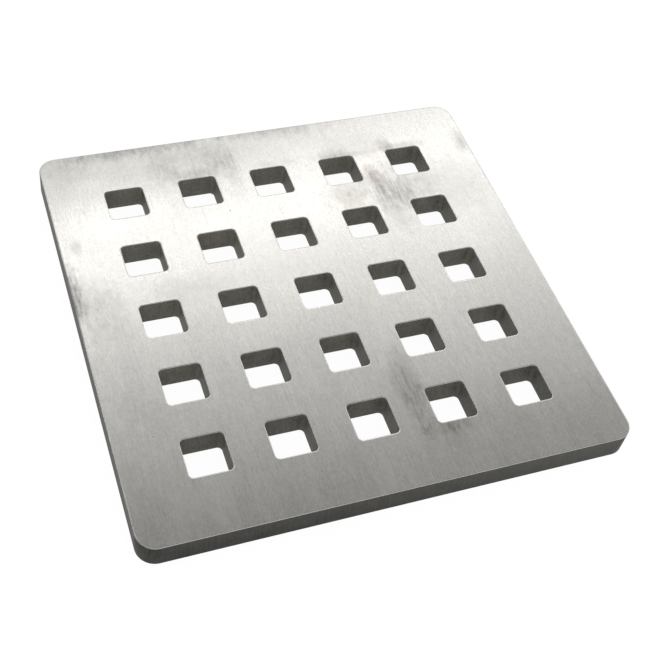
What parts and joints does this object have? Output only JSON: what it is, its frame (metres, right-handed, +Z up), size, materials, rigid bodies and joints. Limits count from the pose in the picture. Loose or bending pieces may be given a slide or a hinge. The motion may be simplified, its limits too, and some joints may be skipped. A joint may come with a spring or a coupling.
{
  "type": "perforated plate",
  "caption": "Thick square steel plate with rounded corners, pierced by an even square grid of square through holes with rounded corners; brushed upper face.",
  "frame": {"origin": "centre of the underside, on the surface the plate lies on", "axes": "+Z up, out of the brushed face; +X along the front edge to the right; +Y to the rear, along the grain of the brushing"},
  "size_m": [0.09, 0.09, 0.005],
  "materials": {
    "plate_steel": "upper face brushed in one direction, cut walls duller and darker, edges lightly broken"
  },
  "bodies": {
    "root": {"perforated_plate": "plate_steel"}
  },
  "joints": []
}
